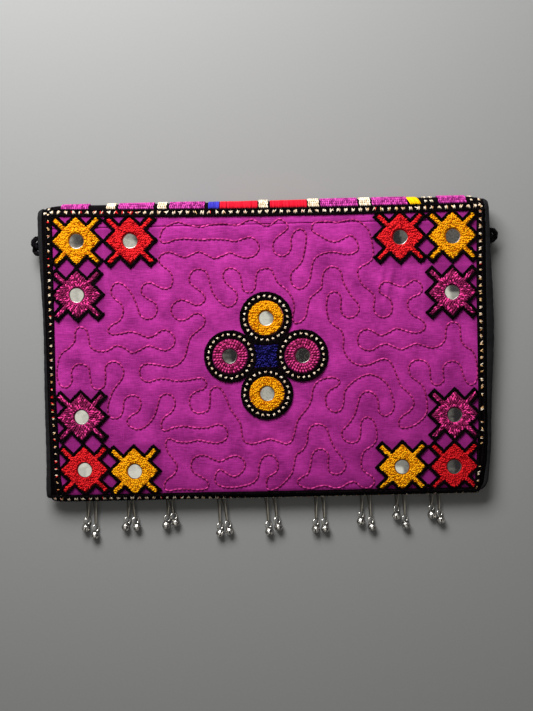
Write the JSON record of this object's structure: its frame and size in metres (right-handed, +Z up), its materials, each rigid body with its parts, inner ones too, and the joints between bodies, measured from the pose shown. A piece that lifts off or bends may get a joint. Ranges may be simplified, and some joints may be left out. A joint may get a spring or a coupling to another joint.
{
  "type": "clutch purse",
  "caption": "Flat fold-over clutch purse lying on its back: quilted flap with stitched stars and a rosette set with round mirrors, colour-block spine, small bells on the lower edge.",
  "frame": {"origin": "middle of the pouch's flat back, on the surface that the purse lies on", "axes": "+X along the flap to the right, +Y towards the folded spine, +Z up out of the flap"},
  "size_m": [0.2911, 0.2127, 0.0204],
  "materials": {
    "black_cotton": "matte",
    "magenta_cotton": "matte",
    "black_thread": "matte",
    "marigold_thread": "satin",
    "red_thread": "satin",
    "magenta_thread": "satin",
    "blue_thread": "satin",
    "spine_thread": "satin",
    "black_cord": "matte",
    "mirror_glass": "polished",
    "silver_metal": "polished"
  },
  "bodies": {
    "root": {"pouch_back": "black_cotton", "pouch_front": "black_cotton", "pouch_edge": "black_cotton", "flap": "magenta_cotton", "binding_left": "black_cotton", "binding_right": "black_cotton", "border_top": "black_thread", "border_bottom": "black_thread", "border_left": "black_thread", "border_right": "black_thread", "spine_band": "spine_thread", "star_top_left_corner": "marigold_thread", "star_top_left_inner": "red_thread", "star_top_left_side": "magenta_thread", "star_top_right_corner": "marigold_thread", "star_top_right_inner": "red_thread", "star_top_right_side": "magenta_thread", "star_bottom_left_corner": "red_thread", "star_bottom_left_inner": "marigold_thread", "star_bottom_left_side": "magenta_thread", "star_bottom_right_corner": "red_thread", "star_bottom_right_inner": "marigold_thread", "star_bottom_right_side": "magenta_thread", "mirror_top_left_corner": "mirror_glass", "mirror_top_left_inner": "mirror_glass", "mirror_top_left_side": "mirror_glass", "mirror_top_right_corner": "mirror_glass", "mirror_top_right_inner": "mirror_glass", "mirror_top_right_side": "mirror_glass", "mirror_bottom_left_corner": "mirror_glass", "mirror_bottom_left_inner": "mirror_glass", "mirror_bottom_left_side": "mirror_glass", "mirror_bottom_right_corner": "mirror_glass", "mirror_bottom_right_inner": "mirror_glass", "mirror_bottom_right_side": "mirror_glass", "mirror_rosette_top": "mirror_glass", "mirror_rosette_bottom": "mirror_glass", "mirror_rosette_left": "mirror_glass", "mirror_rosette_right": "mirror_glass", "lattice_top_left": "black_thread", "lattice_top_right": "black_thread", "lattice_bottom_left": "black_thread", "lattice_bottom_right": "black_thread", "rosette_rings": "black_thread", "rosette_centre": "blue_thread", "rosette_disc_top": "marigold_thread", "rosette_disc_bottom": "marigold_thread", "rosette_disc_left": "magenta_thread", "rosette_disc_right": "magenta_thread", "knot_left": "black_cord", "knot_right": "black_cord", "bells_1": "silver_metal", "bells_2": "silver_metal", "bells_3": "silver_metal", "bells_4": "silver_metal", "bells_5": "silver_metal", "bells_6": "silver_metal", "bells_7": "silver_metal", "bells_8": "silver_metal", "bells_9": "silver_metal"}
  },
  "joints": []
}
